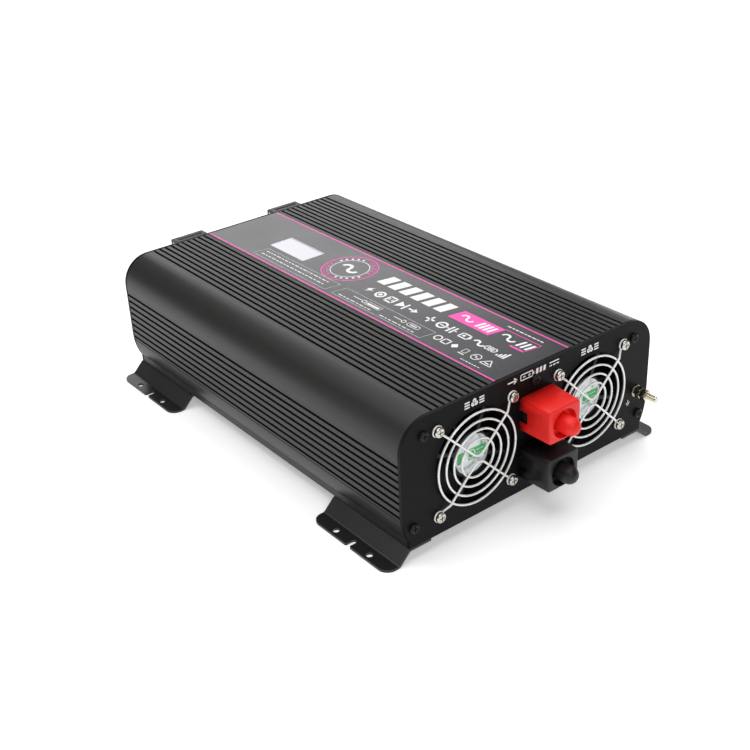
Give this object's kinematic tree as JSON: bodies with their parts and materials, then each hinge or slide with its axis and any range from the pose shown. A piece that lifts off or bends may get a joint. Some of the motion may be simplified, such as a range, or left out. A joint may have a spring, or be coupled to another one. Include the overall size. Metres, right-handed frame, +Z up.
{
  "type": "power inverter",
  "caption": "Portable power inverter: ribbed extruded case on bent feet, guarded fans and booted battery terminals in front, lidded outlets behind.",
  "frame": {"origin": "on the floor, below the middle of the casing and at the centre of the outer foot holes", "axes": "+X to the right seen from the front, +Y from the front plate with the fans to the rear plate with the outlets, +Z up"},
  "size_m": [0.2894, 0.4468, 0.1158],
  "materials": {
    "casing_black": "satin black anodised",
    "panel_black": "fine-textured black powder coat",
    "foot_black": "semi-gloss black powder coat",
    "screw_black": "black oxide",
    "screw_bright": "bright nickel plate",
    "film": "printed satin polyester film",
    "window": "clear acrylic",
    "display": "grey display glass on a green board",
    "fan_plastic": "black glass-filled polyester",
    "rotor_plastic": "black moulded plastic",
    "winding_copper": "enamelled copper",
    "sticker": "white and green foil paper",
    "guard_wire": "bright nickel-plated wire",
    "insulator": "black nylon",
    "brass": "turned brass",
    "cover_red": "soft red PVC",
    "cover_black": "soft black PVC",
    "plated": "yellow-tinted zinc plate",
    "outlet_plastic": "black moulded plastic",
    "lid_plastic": "smooth black plastic",
    "pin_steel": "drawn steel",
    "switch_plastic": "black nylon",
    "rocker_red": "translucent red plastic",
    "socket_plastic": "black nylon",
    "socket_metal": "tin-plated steel",
    "board": "green solder mask",
    "ferrite": "matt ferrite",
    "winding_tape": "yellow polyester tape",
    "can_sleeve": "dark blue sleeve",
    "heat_aluminium": "mill finish",
    "epoxy": "black epoxy with tinned legs",
    "choke_copper": "enamelled copper over a yellow core",
    "fuse_blue": "clear blue plastic",
    "copper_bar": "bare copper",
    "lead_red": "red PVC insulation"
  },
  "bodies": {
    "housing": {"body_extrusion": "casing_black", "base_plate": "casing_black", "base_screws": "screw_black", "front_plate": "panel_black", "rear_plate": "panel_black", "front_plate_screws": "screw_black", "rear_plate_screws": "screw_black", "foot_front_left": "foot_black", "foot_front_right": "foot_black", "foot_rear_left": "foot_black", "foot_rear_right": "foot_black", "foot_screws": "screw_bright", "top_film": "film", "display_window": "window", "display_module": "display", "fan_frame_left": "fan_plastic", "fan_frame_right": "fan_plastic", "fan_stators": "winding_copper", "fan_stickers": "sticker", "fan_guard_left": "guard_wire", "fan_guard_right": "guard_wire", "fan_screws": "screw_bright", "fan_nuts": "screw_bright", "terminal_insulators": "insulator", "terminal_studs": "brass", "terminal_washers": "plated", "terminal_nuts": "plated", "earth_stud": "plated", "earth_washers": "screw_bright", "earth_nuts": "plated", "outlet_left": "outlet_plastic", "outlet_right": "outlet_plastic", "lid_pins": "pin_steel", "lid_springs": "pin_steel", "switch_bezel": "switch_plastic", "usb_housing": "socket_plastic", "usb_shells": "socket_metal", "remote_socket": "socket_plastic", "main_board": "board", "board_standoffs": "brass", "board_screws": "screw_bright", "control_board": "board", "transformer_cores": "ferrite", "transformer_windings": "winding_tape", "input_capacitors": "can_sleeve", "bus_capacitors": "can_sleeve", "heat_bars": "heat_aluminium", "power_transistors": "epoxy", "output_choke": "choke_copper", "blade_fuses": "fuse_blue", "busbars": "copper_bar", "fan_leads": "lead_red"},
    "left_rotor": {"fan_rotor_left": "rotor_plastic"},
    "right_rotor": {"fan_rotor_right": "rotor_plastic"},
    "positive_boot": {"positive_cover": "cover_red"},
    "negative_boot": {"negative_cover": "cover_black"},
    "left_lid": {"outlet_lid_left": "lid_plastic"},
    "right_lid": {"outlet_lid_right": "lid_plastic"},
    "rocker": {"switch_rocker": "rocker_red"}
  },
  "joints": [
    {"name": "left_fan_spin", "type": "hinge", "parent": "housing", "child": "left_rotor", "pos_m": [-0.0592, -0.18, 0.06375], "axis": [0, 1, 0], "continuous": true},
    {"name": "right_fan_spin", "type": "hinge", "parent": "housing", "child": "right_rotor", "pos_m": [0.0592, -0.18, 0.06375], "axis": [0, 1, 0], "continuous": true},
    {"name": "positive_boot_pull", "type": "slide", "parent": "housing", "child": "positive_boot", "axis": [0, -1, 0], "range_m": [0, 0.04]},
    {"name": "negative_boot_pull", "type": "slide", "parent": "housing", "child": "negative_boot", "axis": [0, -1, 0], "range_m": [0, 0.04]},
    {"name": "left_lid_hinge", "type": "hinge", "parent": "housing", "child": "left_lid", "pos_m": [-0.0537, 0.2045, 0.111], "axis": [1, 0, 0], "range_deg": [0, 100], "stiffness_Nm_per_rad": 0.01, "springref_deg": -20.05},
    {"name": "right_lid_hinge", "type": "hinge", "parent": "housing", "child": "right_lid", "pos_m": [0.0537, 0.2045, 0.111], "axis": [1, 0, 0], "range_deg": [0, 100], "stiffness_Nm_per_rad": 0.01, "springref_deg": -20.05},
    {"name": "rocker_tip", "type": "hinge", "parent": "housing", "child": "rocker", "pos_m": [0, 0.193, 0.086], "axis": [1, 0, 0], "range_deg": [0, 16]}
  ]
}
